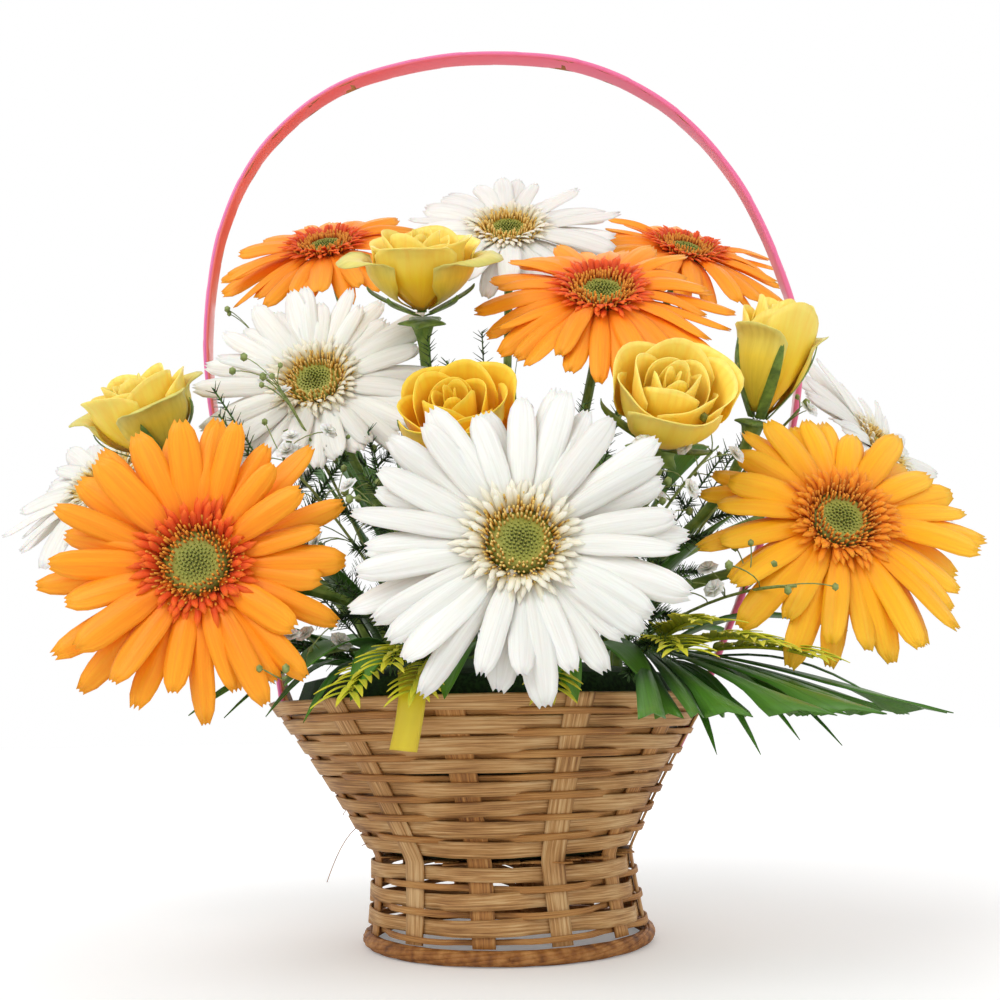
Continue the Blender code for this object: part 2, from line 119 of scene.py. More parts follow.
# Living petal or leaf: soft tissue with lengthwise veins, a colour that runs from base to tip,
# and a tone of its own for each petal.
def petalMaterial(name, stops, veinDark, roughness, scatter):
    made, tree, surface = startMaterial(name, {"Roughness": roughness, "Subsurface Weight": scatter,
                                               "Subsurface Scale": 0.0015, "Sheen Weight": 0.05,
                                               "Specular IOR Level": 0.35})
    marks = stripMarks(tree)
    wave = addNode(tree, "ShaderNodeTexNoise", {"noise_dimensions": "2D"},
                   {"Vector": stripPattern(tree, marks, petalVeins), "Scale": 1.0, "Detail": 3.0}).outputs[0]
    veins = addNode(tree, "ShaderNodeMapRange", None, {0: wave, 1: 0.35, 2: 0.7, 3: 0.0, 4: 0.2})
    base = addNode(tree, "ShaderNodeValToRGB", {"stops": stops}, {0: marks[0]})
    shaded = addNode(tree, "ShaderNodeMix", {"data_type": "RGBA", "blend_type": "MULTIPLY"},
                     {0: veins.outputs[0], 6: base.outputs[0], 7: linear(veinDark)})
    value = addNode(tree, "ShaderNodeMath", {"operation": "MULTIPLY_ADD"}, {0: marks[2], 1: 0.14, 2: 1.02})
    toned = addNode(tree, "ShaderNodeHueSaturation", None,
                    {"Color": shaded.outputs[2], "Value": value.outputs[0]})
    finishSurface(tree, surface, toned.outputs[0], wave, 0.35, 0.0004)
    return made


# Natural surface whose colour drifts in patches: scale is how many there are in a metre.
def spottedMaterial(name, stops, scale, roughness, relief=0.0003):
    made, tree, surface = startMaterial(name, {"Roughness": roughness, "Subsurface Scale": 0.001,
                                               "Specular IOR Level": 0.4})
    place = addNode(tree, "ShaderNodeTexCoord").outputs["Object"]
    drift = addNode(tree, "ShaderNodeTexNoise", None,
                    {"Vector": place, "Scale": scale, "Detail": 4.0}).outputs[0]
    colour = addNode(tree, "ShaderNodeValToRGB", {"stops": stops}, {0: drift})
    finishSurface(tree, surface, colour.outputs[0], drift, 0.4, relief)
    return made


# Split bamboo: straight fibres along each splint, blond to brown, dull with a faint silk.
def splintMaterial(name, dark, middle, light):
    made, tree, surface = startMaterial(name, {"Roughness": 0.55, "Specular IOR Level": 0.4})
    pattern = stripPattern(tree, stripMarks(tree), splintFibres)
    fibre = addNode(tree, "ShaderNodeTexNoise", {"noise_dimensions": "2D"},
                    {"Vector": pattern, "Scale": 1.0, "Detail": 5.0, "Roughness": 0.65}).outputs[0]
    place = addNode(tree, "ShaderNodeTexCoord").outputs["Object"]
    mottle = addNode(tree, "ShaderNodeTexNoise", None, {"Vector": place, "Scale": 45.0, "Detail": 2.0})
    fine = addNode(tree, "ShaderNodeMath", {"operation": "MULTIPLY"}, {0: fibre, 1: 0.65})
    blend = addNode(tree, "ShaderNodeMath", {"operation": "MULTIPLY_ADD"},
                    {0: mottle.outputs[0], 1: 0.35, 2: fine.outputs[0]})
    stops = [(0.34, dark), (0.5, middle), (0.66, light)]
    colour = addNode(tree, "ShaderNodeValToRGB", {"stops": stops}, {0: blend.outputs[0]})
    finishSurface(tree, surface, colour.outputs[0], fibre, 0.6, 0.0003)
    return made


# Satin ribbon: woven polyester with a bright sheen. Its colour follows the way round the strip on the left of
# the basket, with painted sheen in it (orange on the pink ribbon's inner face), and turns into the far colour
# towards the right, where the painted sheen fades out.
def satinMaterial(name, stops, far, roughness, sheen):
    made, tree, surface = startMaterial(name, {"Roughness": roughness, "Sheen Weight": sheen,
                                               "Anisotropic": 0.4, "Specular IOR Level": 0.6})
    along, across = stripMarks(tree)[:2]
    place = addNode(tree, "ShaderNodeTexCoord").outputs["Object"]
    sideways = addNode(tree, "ShaderNodeSeparateXYZ", None, {0: place}).outputs[0]
    # painted sheen: the colour round the strip fades out from the left of the basket to the right
    drift = addNode(tree, "ShaderNodeMapRange", None, {0: sideways, 1: -0.12, 2: 0.05, 3: 0.0, 4: 0.85})
    # colour round the strip, which holds the painted sheen on the pink ribbon
    near = addNode(tree, "ShaderNodeValToRGB", {"stops": stops}, {0: across})
    colour = addNode(tree, "ShaderNodeMix", {"data_type": "RGBA", "blend_type": "MIX"},
                     {0: drift.outputs[0], 6: near.outputs[0], 7: linear(far)})
    length = addNode(tree, "ShaderNodeMath", {"operation": "MULTIPLY"}, {0: along, 1: ribbonThreads})
    vector = addNode(tree, "ShaderNodeCombineXYZ", None, {0: length.outputs[0]})
    threads = addNode(tree, "ShaderNodeTexWave", None,
                      {"Vector": vector.outputs[0], "Scale": 1.0, "Distortion": 0.6})
    finishSurface(tree, surface, colour.outputs[2], threads.outputs[1], 0.12, 0.0001)
    return made


orangeRay = petalMaterial("gerbera ray, orange",
                          [(0.0, "E86400"), (0.45, "FF9400"), (1.0, "FFA81C")], "F08A10", 0.5, 0.12)
yellowRay = petalMaterial("gerbera ray, yellow orange",
                          [(0.0, "F58200"), (0.5, "FFB000"), (1.0, "FFC42A")], "F8A010", 0.5, 0.12)
whiteRay = petalMaterial("gerbera ray, white",
                         [(0.0, "E9E2CE"), (0.35, "F0ECE4"), (1.0, "F3F0EB")], "D0C8C0", 0.5, 0.15)
orangeFringe = petalMaterial("gerbera inner floret, red orange",
                             [(0.0, "B83200"), (0.6, "EA4E00"), (1.0, "FF7A10")], "B83A00", 0.55, 0.1)
yellowFringe = petalMaterial("gerbera inner floret, amber",
                             [(0.0, "C86000"), (0.6, "F58C00"), (1.0, "FFA81E")], "D07000", 0.55, 0.1)
whiteFringe = petalMaterial("gerbera inner floret, cream",
                            [(0.0, "CDBE86"), (0.5, "EFE6CC"), (1.0, "F8F3E4")], "CDBFA0", 0.55, 0.1)
pollenGold = petalMaterial("disc floret, gold and brown",
                           [(0.0, "6E4A10"), (0.55, "C08A1E"), (1.0, "F0D078")], "8A5A14", 0.6, 0.05)
pollenRust = petalMaterial("disc floret, rust",
                           [(0.0, "6A2E04"), (0.55, "B85A08"), (1.0, "F0A030")], "8A4406", 0.6, 0.05)
budGreen = petalMaterial("disc bud, green",
                         [(0.0, "3E460C"), (0.6, "6E7822"), (1.0, "A8AA4A")], "5E6418", 0.5, 0.05)
roseGold = petalMaterial("rose petal, golden",
                         [(0.0, "F29400"), (0.5, "FFC40A"), (1.0, "FFDE4A")], "F8B810", 0.45, 0.2)
roseLemon = petalMaterial("rose petal, lemon",
                          [(0.0, "F4AE00"), (0.5, "FFD62C"), (1.0, "FFE878")], "FAC834", 0.45, 0.2)
roseGuard = petalMaterial("rose guard petal, greenish",
                          [(0.0, "C8B428"), (0.6, "EFD044"), (1.0, "D8D070")], "C0B040", 0.5, 0.15)
palmGreen = petalMaterial("palm leaf, deep green",
                          [(0.0, "2C5212"), (0.6, "2F6414"), (1.0, "4C7E1E")], "1E400C", 0.38, 0.0)
leafGreen = petalMaterial("broad leaf, mid green",
                          [(0.0, "33591A"), (0.6, "447A1E"), (1.0, "5E9428")], "2A5212", 0.38, 0.0)
goldGreen = petalMaterial("conifer tuft, gold green",
                          [(0.0, "8C9A14"), (0.5, "C2C81E"), (1.0, "E2D83C")], "9AA01A", 0.5, 0.05)
fernGreen = petalMaterial("fern needle, dark green",
                          [(0.0, "22380F"), (0.6, "2E5216"), (1.0, "48701F")], "1C300C", 0.5, 0.0)
breathWhite = petalMaterial("gypsophila petal, white",
                            [(0.0, "D8DCC0"), (0.5, "F2F1EA"), (1.0, "FAF8F4")], "D8D6CC", 0.5, 0.15)
sepalGreen = spottedMaterial("sepal and calyx, green",
                             [(0.35, "4E6A24"), (0.65, "7C9A3C")], 300.0, 0.5)
stemGreen = spottedMaterial("flower stem, green",
                            [(0.35, "56762A"), (0.65, "86A048")], 220.0, 0.5)
breathStem = spottedMaterial("gypsophila stem and bud, pale green",
                             [(0.35, "6C7F3C"), (0.65, "9CAA66")], 500.0, 0.5)
splintBlond = splintMaterial("split bamboo, blond", "84562A", "C49258", "E6C28C")
splintBrown = splintMaterial("split bamboo, brown", "744620", "B67C3E", "D8A664")
coilBrown = spottedMaterial("split bamboo coil, brown",
                            [(0.3, "6A3E1A"), (0.5, "A0662E"), (0.72, "C68E50")], 260.0, 0.6, 0.0006)
foilDark = spottedMaterial("liner foil, dark green",
                           [(0.4, "1C2412"), (0.6, "2E3A1C")], 120.0, 0.35)
foamGreen = spottedMaterial("wet floral foam, dark green",
                            [(0.4, "182C14"), (0.6, "26441C")], 900.0, 0.9, 0.0005)
# pink ribbon: orange-red on the inner face (0.0) is painted sheen, magenta along the edges (0.5), pink on the
# outer face (1.0)
pinkSatinPaintedSheen = satinMaterial("satin ribbon, pink, with painted orange sheen",
                          [(0.0, "FF4A22"), (0.3, "FF7A6A"), (0.5, "C8489A"), (0.62, "F070A8"),
                           (1.0, "F07AB0")],
                          "F06A9A", 0.32, 0.4)
yellowSatin = satinMaterial("satin ribbon, yellow",
                            [(0.0, "E8C400"), (0.5, "F6DC1E"), (1.0, "E2BC00")], "E8D21F", 0.35, 0.3)


# Mesh helpers

# Matrix that puts local +Z along the normal at a place, with local +Y as near up as it can be.
def facing(at, normal):
    z = Vector(normal).normalized()
    x = Vector((0, 0, 1)).cross(z).normalized()
    return Matrix.Translation(at) @ Matrix((x, z.cross(x), z)).transposed().to_4x4()


def startMesh():
    bm = bmesh.new()
    for name in ("along", "across", "tone"):
        bm.verts.layers.float.new(name)
    return bm


# A grid whose points go where place(a, b) says: a runs along it and b across, both from 0 to 1.
def patch(bm, columns, rows, place, tone=0.5, matrix=None, marks=None):
    along, across, toneLayer = (bm.verts.layers.float[n] for n in ("along", "across", "tone"))
    for vert in bmesh.ops.create_grid(bm, x_segments=columns, y_segments=rows, size=0.5)["verts"]:
        a, b = vert.co.x + 0.5, vert.co.y + 0.5
        point = Vector(place(a, b))
        vert.co = matrix @ point if matrix else point
        vert[along], vert[across] = marks(a, b) if marks else (a, b)
        vert[toneLayer] = tone


# A small closed cone or peg standing on its base.
def cone(bm, matrix, radius, tipRadius, height, sides, tone=0.5):
    along, across, toneLayer = (bm.verts.layers.float[n] for n in ("along", "across", "tone"))
    place = matrix @ Matrix.Translation((0, 0, height / 2))
    made = bmesh.ops.create_cone(bm, cap_ends=True, segments=sides, radius1=radius, radius2=tipRadius,
                                 depth=height, matrix=place)["verts"]
    base = matrix.inverted()
    for vert in made:
        vert[along] = max(0.0, min(1.0, (base @ vert.co).z / height))
        vert[across], vert[toneLayer] = 0.5, tone


def ball(bm, at, radius, tone=0.5, stretch=(1, 1, 1), detail=1):
    along, across, toneLayer = (bm.verts.layers.float[n] for n in ("along", "across", "tone"))
    matrix = Matrix.Translation(at) @ Matrix.Diagonal((*stretch, 1))
    for vert in bmesh.ops.create_icosphere(bm, subdivisions=detail, radius=radius, matrix=matrix)["verts"]:
        vert[along], vert[across], vert[toneLayer] = 0.6, 0.5, tone


# A capped round tube along a line.
def tube(bm, line, radii, sides=6, tone=0.5):
    along, across, toneLayer = (bm.verts.layers.float[n] for n in ("along", "across", "tone"))
    lower, side = None, None
    last = len(line) - 1
    made = []
    for index, (point, radius) in enumerate(zip(line, radii)):
        ahead = (line[min(index + 1, last)] - line[max(index - 1, 0)]).normalized()
        side = ahead.orthogonal() if side is None else side
        side = (side - ahead * side.dot(ahead)).normalized()
        other = ahead.cross(side)
        capped = index in (0, last)
        ring = bmesh.ops.create_circle(bm, cap_ends=capped, segments=sides, radius=1)["verts"]
        for k, vert in enumerate(ring):
            turn = 2 * math.pi * k / sides
            vert.co = point + (side * math.cos(turn) + other * math.sin(turn)) * radius
            vert[along], vert[across], vert[toneLayer] = index / last, 0.5, tone
        if lower:
            for k in range(sides):
                j = (k + 1) % sides
                made.append(bm.faces.new((lower[k], lower[j], ring[j], ring[k])))
        lower = ring
        if capped:
            made += ring[0].link_faces
    bmesh.ops.recalc_face_normals(bm, faces=list(set(made)))


# A smooth line that leaves start along way and comes to end, with its middle lifted.
def bendLine(start, way, end, lift, count):
    reach = (end - start).length
    a, d = start, end
    b = start + Vector(way).normalized() * reach * 0.4
    c = end - (end - b).normalized() * reach * 0.3 + Vector((0, 0, lift))
    made = []
    for i in range(count + 1):
        t = i / count
        made.append(a * (1 - t)**3 + b * 3 * t * (1 - t)**2 + c * 3 * t * t * (1 - t) + d * t**3)
    return made


# Turns a bmesh into a piece that rides on the basket.
def finishPiece(name, bm, material, replaced=(), thickness=0.0, weld=False):
    if weld:
        bmesh.ops.remove_doubles(bm, verts=bm.verts, dist=1e-6)
        bmesh.ops.recalc_face_normals(bm, faces=bm.faces)
    mesh = bpy.data.meshes.new(name)
    bm.to_mesh(mesh)
    bm.free()
    mesh.shade_smooth()
    mesh.materials.append(material)
    made = bpy.data.objects.new(name, mesh)
    bpy.context.scene.collection.objects.link(made)
    if thickness:
        solid = made.modifiers.new("thickness", "SOLIDIFY")
        solid.thickness, solid.offset = thickness, 0
    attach(made, "root")
    for node in replaced:
        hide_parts(node)
    return made


def smoothStep(low, high, value):
    t = max(0.0, min(1.0, (value - low) / (high - low)))
    return t * t * (3 - 2 * t)


def boxCentre(node):
    low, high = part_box(node)
    return (low + high) / 2


# Gerberas

whiteHead = dict(colours=(whiteRay, whiteFringe, pollenGold), slot="white_petal")
orangeHead = dict(colours=(orangeRay, orangeFringe, pollenRust), slot="orange_petal")
gerberas = {     # lengths in mm; facing, reach, lift and droop of each head, and its colours
    "orange_gerbera_front_left": dict(facing=(0.02, -0.99, 0.08), reach=49, lift=3, droop=0, count=17,
                                      **orangeHead),
    "white_gerbera_front": dict(facing=(0, -0.98, 0.2), reach=54, lift=2, droop=0, count=18, **whiteHead),
    "yellow_orange_gerbera_front_right": dict(facing=(0.1, -0.93, 0.35), reach=51, lift=-4, droop=4,
                                              count=18, colours=(yellowRay, yellowFringe, pollenRust),
                                              slot="orange_petal"),
    "white_gerbera_left": dict(facing=(-0.1, -0.92, 0.38), reach=50, lift=2, droop=0, count=18, **whiteHead),
    "orange_gerbera_top_right": dict(facing=(0, -0.8, 0.6), reach=51, lift=-5, droop=3, count=17,
                                     **orangeHead),
    "white_gerbera_top": dict(facing=(0, -0.8, 0.6), reach=53, lift=-3, droop=0, count=18, **whiteHead),
    "orange_gerbera_back_left": dict(facing=(-0.1, -0.7, 0.7), reach=51, lift=-4, droop=3, count=16,
                                     **orangeHead),
    "orange_gerbera_back_right": dict(facing=(0.2, -0.68, 0.7), reach=51, lift=-4, droop=4, count=16,
                                      **orangeHead),
    "white_gerbera_far_left": dict(facing=(-0.42, -0.7, 0.58), reach=49, lift=0, droop=0, count=17,
                                   **whiteHead),
    "white_gerbera_far_right": dict(facing=(0.66, -0.58, 0.48), reach=50, lift=0, droop=0, count=17,
                                    **whiteHead),
}
rayWidth = 9.6          # mm, at a ray's widest
discRadius = 12.5        # mm, of the brown ring round the green middle
eyeRadius = 6.5          # mm, of the green middle
calyxDepth = 9.5         # mm, from the rays down to the stem


# A point on a strap-shaped ray: narrow base, two lengthwise grooves, blunt toothed tip.
def rayPoint(a, b, length, width, start, lift, arch, twist, notch):
    wide = 0.42 + 0.58 * smoothStep(0.0, 0.5, a)
    if a > 0.74:
        wide *= math.sqrt(max(0.0, 1 - ((a - 0.74) / 0.275) ** 2)) * 0.999 + 0.001
    side = (b - 0.5) * 2
    tooth = notch * math.cos(2 * math.pi * side) * smoothStep(0.7, 1.0, a)
    out = start + (length - start) * a + tooth
    groove = 0.5 * math.cos(2 * math.pi * side) * smoothStep(0.05, 0.35, a) * (1 - 0.5 * a)
    height = lift * a ** 1.6 + arch * math.sin(math.pi * a) - 1.5 * side * side * wide + groove
    across = side * width / 2 * wide
    return Vector((out, across * math.cos(twist * a), height + across * math.sin(twist * a))) * mm


def gerberaRays(place, row):
    bm = startMesh()
    count = row["count"]
    for layer, (share, rise, drop) in enumerate(((1.0, 0.0, 0.0), (0.93, 1.6, 0.6))):
        for k in range(count):
            angle = 2 * math.pi * (k + 0.5 * layer) / count + dice.uniform(-0.07, 0.07)
            length = row["reach"] * share * dice.uniform(0.82, 1.03)
            width = rayWidth * dice.uniform(0.78, 1.1)
            lift = row["lift"] + rise + drop + dice.uniform(-4, 3.5)
            arch, twist, notch = dice.uniform(0.5, 3.6), dice.uniform(-0.5, 0.5), dice.uniform(0.2, 0.9)
            turn = Matrix.Rotation(angle, 4, "Z")

            def at(a, b):
                point = rayPoint(a, b, length, width, 7, lift, arch, twist, notch)
                point.z += rise * mm * 0.5
                return point
            patch(bm, 11, 6, at, dice.random(), place @ turn)
    return bm


# Lets the outer ends of rays hang under their own weight.
def sag(bm, place, row):
    droop = row["droop"] * mm
    if droop:
        centre, reach = place.translation, row["reach"] * mm
        for vert in bm.verts:
            vert.co.z -= droop * min(1.4, (vert.co - centre).length / reach) ** 2
    return bm


# Short narrow florets that stand up round the disc.
def gerberaFringe(place):
    bm = startMesh()
    for ring, (count, length, rise) in enumerate(((34, 10.5, 3.0), (30, 8.0, 4.2), (26, 5.5, 4.6))):
        for k in range(count):
            angle = 2 * math.pi * (k + 0.37 * ring) / count + dice.uniform(-0.06, 0.06)
            reach, up = length * dice.uniform(0.75, 1.15), rise * dice.uniform(0.6, 1.2)
            curl = dice.uniform(-1.5, 2.0)

            def at(a, b):
                side = (b - 0.5) * 2 * (0.9 if a < 0.8 else 0.9 * (1.001 - a) * 5)
                return Vector((discRadius - 2 + reach * a, side * 1.1 + curl * a * a,
                               1.2 + up * math.sin(1.9 * a) - 0.35 * side * side)) * mm
            patch(bm, 4, 2, at, dice.random(), place @ Matrix.Rotation(angle, 4, "Z"))
    return bm


# Ring of pegs: the open disc florets, leaning outwards, tips pale.
def gerberaDisc(place):
    bm = startMesh()
    for ring in range(6):
        radius = eyeRadius + 0.6 + ring * 1.05
        count = int(2 * math.pi * radius / 1.35)
        for k in range(count):
            angle = 2 * math.pi * k / count + dice.uniform(-0.06, 0.06)
            lean = Matrix.Rotation(math.radians(6 + 7 * ring) + dice.uniform(-0.15, 0.15), 4, "Y")
            turn = place @ Matrix.Rotation(angle, 4, "Z")
            peg = turn @ Matrix.Translation((radius * mm, 0, 0.4 * mm)) @ lean
            cone(bm, peg, 0.5 * mm, 0.34 * mm, dice.uniform(3.4, 5.2) * mm, 4, dice.random())
    return bm


# Green middle: a low dome packed with closed buds in a sunflower spiral.
def gerberaEye(place):
    bm = startMesh()
    for k in range(92):
        radius = eyeRadius * math.sqrt((k + 0.5) / 92)
        angle = k * goldenAngle
        spot = Vector((radius * math.cos(angle), radius * math.sin(angle), 2.6 - 0.02 * radius ** 2)) * mm
        cone(bm, place @ Matrix.Translation(spot), 0.52 * mm, 0.2 * mm, dice.uniform(0.9, 1.3) * mm, 5,
             dice.random())
    dome = place @ Matrix.Translation((0, 0, 0.6 * mm))
    cone(bm, dome, (discRadius + 0.5) * mm, (eyeRadius + 1) * mm, 1.8 * mm, 28, 0.2)
    return bm


# Green cup behind the rays, covered in narrow pointed bracts.
def gerberaCalyx(place):
    bm = startMesh()
    foot = place @ Matrix.Translation((0, 0, -calyxDepth * mm))
    cone(bm, foot, 3.2 * mm, 10 * mm, (calyxDepth - 1) * mm, 20)
    for ring, count in ((0, 16), (1, 18)):
        for k in range(count):
            turn = place @ Matrix.Rotation(2 * math.pi * (k + 0.5 * ring) / count, 4, "Z")

            def at(a, b):
                side = (b - 0.5) * 2 * (1.001 - a) ** 0.6
                out = 3.4 + (9.5 + 1.6 * ring) * math.sin(a * 1.45)
                up = -calyxDepth - 0.1 + (calyxDepth + 0.4 - ring) * a ** 1.3
                return Vector((out, side * 1.5, up)) * mm
            patch(bm, 5, 2, at, dice.random(), turn)
    return bm


for name, row in gerberas.items():
    normal = Vector(row["facing"]).normalized()
    centre = boxCentre(name) - normal * row["lift"] * mm + Vector((0, 0, row["droop"] * mm * 0.5))
    place = facing(centre, row["facing"])
    ray, fringe, pollen = row["colours"]
    finishPiece(name + "_rays", sag(gerberaRays(place, row), place, row), ray, (name,),
                0.3 * mm)
    finishPiece(name + "_fringe", gerberaFringe(place), fringe, (), 0.22 * mm)
    finishPiece(name + "_disc", gerberaDisc(place), pollen)
    finishPiece(name + "_eye", gerberaEye(place), budGreen)
    finishPiece(name + "_calyx", gerberaCalyx(place), sepalGreen, (), 0.3 * mm)
print("gerberas made:", len(gerberas))


# Roses

roses = {        # mm; axis of the bloom, its radius and height, how far its outer petals open (0 to 1)
    "rose_top": dict(facing=(0, -0.55, 0.83), radius=20, height=30,
                     open=0.6, colour=roseLemon, guard=True),
    "rose_middle": dict(facing=(-0.1, -0.8, 0.6), radius=21, height=32,
                        open=0.35, colour=roseGold, guard=False),
    "rose_right": dict(facing=(0.1, -0.85, 0.5), radius=21, height=32,
                       open=0.4, colour=roseLemon, guard=False),
    "rose_bud_right": dict(facing=(0.2, -0.35, 0.9), radius=14, height=42,
                           open=0.18, colour=roseLemon, guard=True),
    "rose_far_left": dict(facing=(-0.3, -0.5, 0.8), radius=18, height=30,
                          open=0.3, colour=roseLemon, guard=True),
}


# One cupped petal: rises from the hip, bellies out, and rolls back at its edge.
def rosePetal(bm, place, angle, spread, foot, rim, height, roll, tone, wave):
    def at(a, b):
        side = (b - 0.5) * 2
        top = 1 - 0.22 * side * side * smoothStep(0.3, 1, a)
        t = a * top
        radius = foot + (rim - foot) * (1 - (1 - min(1.0, t * 1.35)) ** 2)
        radius += roll * smoothStep(0.72, 1.0, t) ** 1.5
        drop = 0.45 * roll * smoothStep(0.82, 1.0, t) ** 2
        ripple = wave * math.sin(5 * side + 3 * tone * 6) * smoothStep(0.5, 1, a)
        angleHere = side * spread * (0.35 + 0.65 * smoothStep(0.0, 0.5, a))
        return Vector(((radius + ripple) * math.cos(angleHere), (radius + ripple) * math.sin(angleHere),
                       height * t - drop)) * mm
    patch(bm, 12, 12, at, tone, place @ Matrix.Rotation(angle, 4, "Z"))


def makeRose(name, row):
    normal = Vector(row["facing"]).normalized()
    place = facing(boxCentre(name) - normal * row["height"] * 0.5 * mm, row["facing"])
    bm = startMesh()
    radius, height, opened = row["radius"], row["height"], row["open"]
    petals = 17
    for k in range(petals):
        share = (k / (petals - 1)) ** 0.9                      # 0 in the heart, 1 outside
        rim = 1.4 + (radius - 1.4) * share ** (1.15 - 0.25 * opened)
        tall = height * (0.97 - 0.1 * share * opened + 0.05 * math.sin(3 * k))
        roll = radius * 0.38 * opened * smoothStep(0.45, 1.0, share)
        spread = 1.35 - 0.5 * share
        rosePetal(bm, place, k * goldenAngle + dice.uniform(-0.2, 0.2), spread, 0.6 + 2.8 * share, rim, tall,
                  roll, dice.random(), 0.25 + 0.5 * share)
    finishPiece(name + "_petals", bm, row["colour"], (name,), 0.35 * mm)
    if row["guard"]:
        bm = startMesh()
        for k in range(3):
            roll = radius * 0.55 * (0.4 + opened)
            rosePetal(bm, place, 1.2 + 2.3 * k, 0.8, 3.4, radius * 1.02, height * 0.8, roll,
                      dice.random(), 0.9)
        finishPiece(name + "_guard_petals", bm, roseGuard, (), 0.4 * mm)
    bm = startMesh()
    for k in range(5):
        turn = place @ Matrix.Rotation(2 * math.pi * k / 5 + 0.4, 4, "Z")
        cling = 1 - opened
        bend = dice.uniform(0.6, 1.1)

        def at(a, b):
            side = (b - 0.5) * 2 * (1.001 - a) ** 0.75 * (0.6 + a)
            out = 3.2 + (radius * 0.95 - 2) * math.sin(min(1.5, a * 1.7)) + 3 * (1 - cling) * a * a * bend
            up = -2.2 + a * height * (0.75 * cling + 0.12) - 6 * opened * bend * a * a
            return Vector((out, side * 3.0, up)) * mm
        patch(bm, 9, 4, at, dice.random(), turn)
    finishPiece(name + "_sepals", bm, sepalGreen, (), 0.35 * mm)


for name, row in roses.items():
    makeRose(name, row)
print("roses made:", len(roses))


# Basket

basket = dict(stakes=12, firstStake=math.radians(-9), splint=0.9, wide=5.6, narrow=2.3, offset=1.25,
              lean=-5, rows=8, footRows=3, rim=82.5, coilRadius=2.6)      # mm
coilLow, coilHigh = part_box("foot_coil")
floorLow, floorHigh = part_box("bowl_floor")
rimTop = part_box("stake_01")[1].z
footRadius = (coilHigh.x - coilLow.x) / 2 - basket["coilRadius"] * mm
footTop = floorHigh.z
waistRadius = (floorHigh.x - floorLow.x) / 2 + (basket["splint"] / 2 + 0.3) * mm
rimRadius = basket["rim"] * mm


def wallRadius(z):
    if z < footTop:
        return waistRadius + (footRadius - waistRadius) * (1 - z / footTop) ** 1.5
    rise = (z - footTop) / (rimTop - footTop)
    return waistRadius + (rimRadius - waistRadius) * (0.85 * rise + 0.15 * rise ** 2)


def roundBasket(angle, radius, z):
    lean = basket["lean"] * mm * z / rimTop
    return Vector((radius * math.sin(angle) + lean, -radius * math.cos(angle), z))


# A splint that goes over one stake and under the next, row on row, with the sway of a real one.
def weaver(name, heights, width, front, slope, material, node, loose):
    pitch = 2 * math.pi / basket["stakes"]
    turns = len(heights)
    perTurn = 96
    bm = startMesh()
    phases = [(dice.uniform(0, 6.28), dice.uniform(0.7, 1.3)) for _ in range(turns + 1)]

    def at(a, b):
        turn = a * (turns - 1 / basket["stakes"])
        row = min(int(turn), turns - 1)
        share = turn - row
        angle = math.pi + basket["firstStake"] + pitch * 0.75 + share * 2 * math.pi
        nextRow = min(row + 1, turns - 1)
        z = heights[row] + (heights[nextRow] - heights[row]) * smoothStep(0.9, 1.0, share)
        phase, much = phases[row]
        z += loose * mm * math.sin(3 * angle + phase) * much
        cross = math.cos((angle - basket["firstStake"]) * basket["stakes"] / 2)
        sign = 1 if front else -1
        shaped = math.copysign(min(1.0, abs(cross) * 1.7), cross) * sign
        swing = wallRadius(z) + basket["offset"] * mm * shaped
        swing += (0.5 if shaped > 0 else 0.1) * mm * (1 - abs(shaped))
        high = (b - 0.5) * width * mm * slope * (1 + 0.12 * math.sin(2 * angle + 2 * phase))
        lean = (wallRadius(z + 0.5 * mm) - wallRadius(z - 0.5 * mm)) / mm
        return roundBasket(angle, swing + lean * high * 0.9, z + high)
    patch(bm, int(turns * perTurn), 4, at, 0.5, None,
          lambda a, b: (a * turns * 0.45, b + 3 * int(a * turns)))
    finishPiece(name, bm, material, (node,), basket["splint"] * mm * 0.85)


pitch = (rimTop - footTop) / basket["rows"]
wideRows = [rimTop - 2.2 * mm - 0.2 * mm - (basket["rows"] - 1 - i) * pitch for i in range(basket["rows"])]
narrowRows = [z + pitch / 2 for z in wideRows[:-1]]
footLow = 2 * basket["coilRadius"] * mm + 1.6 * mm
footPitch = (footTop - 1.2 * mm - footLow) / basket["footRows"]
footWide = [footLow + footPitch * (i + 0.62) for i in range(basket["footRows"])]
footNarrow = [z - footPitch / 2 for z in footWide]
weaver("bowl_wide_splints", wideRows, basket["wide"], True, 0.86, splintBlond, "bowl_wide_weaver", 0.35)
weaver("bowl_narrow_splints", narrowRows, basket["narrow"], False, 0.86, splintBrown,
       "bowl_narrow_weaver", 0.35)
weaver("foot_wide_splints", footWide, 5.0, True, 1.0, splintBlond, "foot_wide_weaver", 0.5)
weaver("foot_narrow_splints", footNarrow, 2.0, False, 1.0, splintBrown, "foot_narrow_weaver", 0.6)


def makeStake(index):
    name = "stake_%02d" % (index + 1)
    angle = basket["firstStake"] + index * 2 * math.pi / basket["stakes"]
    low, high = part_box(name)
    bm = startMesh()
    across = Vector((math.cos(angle), math.sin(angle), 0))
    tone = dice.random()

    def at(a, b):
        z = low.z + (high.z - low.z) * a
        width = (7.6 + 2.0 * a + 0.25 * math.sin(9 * a + 5 * tone)) * mm
        crown = 0.25 * mm * (1 - (2 * b - 1) ** 2)
        return roundBasket(angle, wallRadius(z) + crown, z) + across * (b - 0.5) * width
    patch(bm, 40, 4, at, tone, None, lambda a, b: (a * 0.09, b + 2 * index))
    finishPiece(name + "_splint", bm, splintBlond if index % 2 else splintBrown, (name,),
                basket["splint"] * mm * 0.8)


for index in range(basket["stakes"]):
    makeStake(index)


